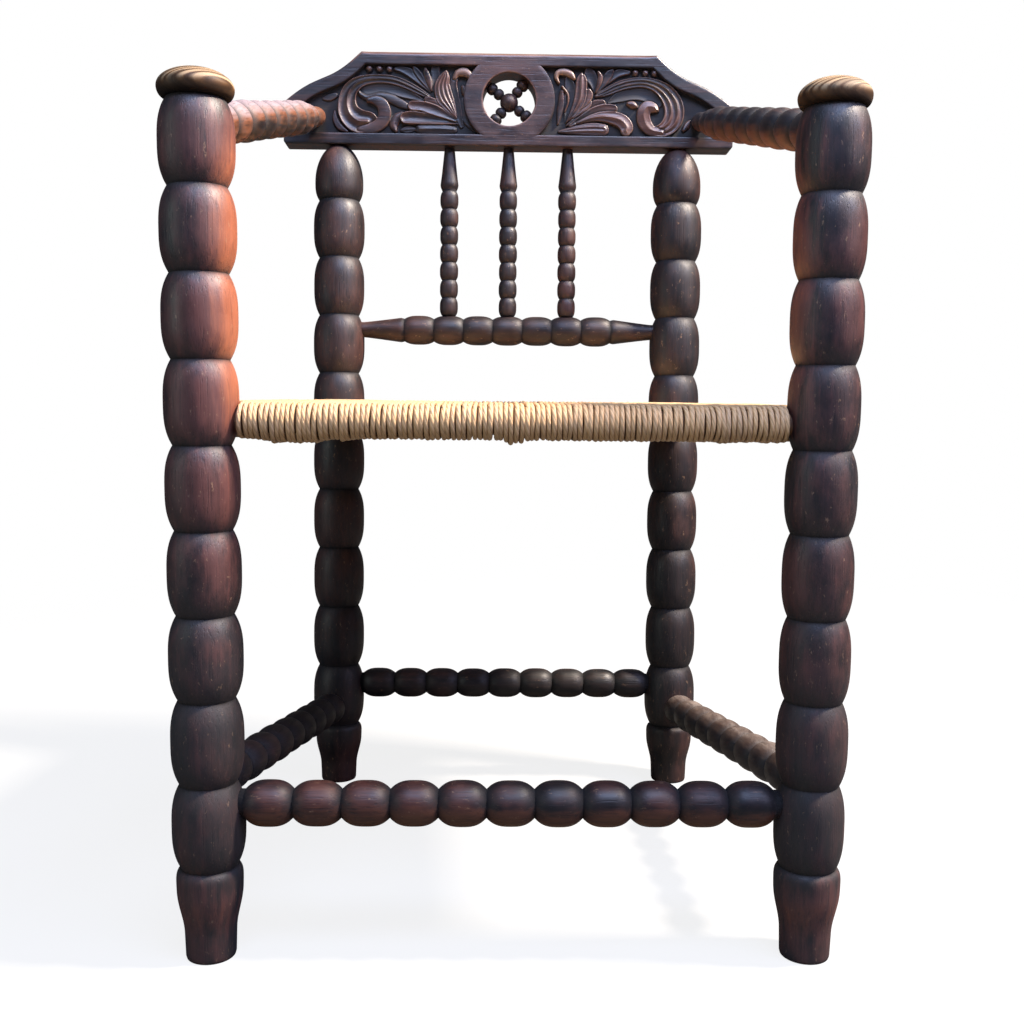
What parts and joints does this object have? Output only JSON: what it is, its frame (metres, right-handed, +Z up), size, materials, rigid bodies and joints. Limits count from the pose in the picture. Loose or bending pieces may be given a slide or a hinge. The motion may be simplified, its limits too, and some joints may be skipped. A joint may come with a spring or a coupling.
{
  "type": "armchair",
  "caption": "Bobbin-turned wooden armchair with a pierced, carved crest rail, beaded spindles and stretchers, and a woven rush seat.",
  "frame": {"origin": "centre of the chair's bounding box, at the floor", "axes": "+Z up, the chair faces -Y, +X to the right seen from in front"},
  "size_m": [0.543, 0.5212, 0.8476],
  "materials": {
    "turned_oak": "dark stained, satin wax, worn reddish on the high spots",
    "worn_oak": "stain worn to reddish tan by hands, satin",
    "carved_oak": "almost black stain, satin, paler on worn edges",
    "honey_oak": "stain worn off to honey end grain, satin",
    "rush": "twisted golden and brown rush, dull sheen",
    "rush_stuffing": "loose dry rush, matt"
  },
  "bodies": {
    "root": {"front_post_left": "turned_oak", "front_post_right": "turned_oak", "back_post_left": "turned_oak", "back_post_right": "turned_oak", "spoke_hub": "turned_oak", "spoke_upper_right": "turned_oak", "spoke_upper_left": "turned_oak", "spoke_lower_left": "turned_oak", "spoke_lower_right": "turned_oak", "back_mid_rail": "turned_oak", "spindle_left": "turned_oak", "spindle_centre": "turned_oak", "spindle_right": "turned_oak", "seat_rail_front": "turned_oak", "seat_rail_right": "turned_oak", "seat_rail_back": "turned_oak", "seat_rail_left": "turned_oak", "stretcher_front": "turned_oak", "stretcher_back": "turned_oak", "stretcher_left": "turned_oak", "stretcher_right": "turned_oak", "finial_left": "honey_oak", "finial_right": "honey_oak", "crest_rail": "carved_oak", "arm_left": "worn_oak", "arm_right": "worn_oak", "rush_front": "rush", "rush_right": "rush", "rush_back": "rush", "rush_left": "rush", "stuffing_front": "rush_stuffing", "stuffing_right": "rush_stuffing", "stuffing_back": "rush_stuffing", "stuffing_left": "rush_stuffing"}
  },
  "joints": []
}
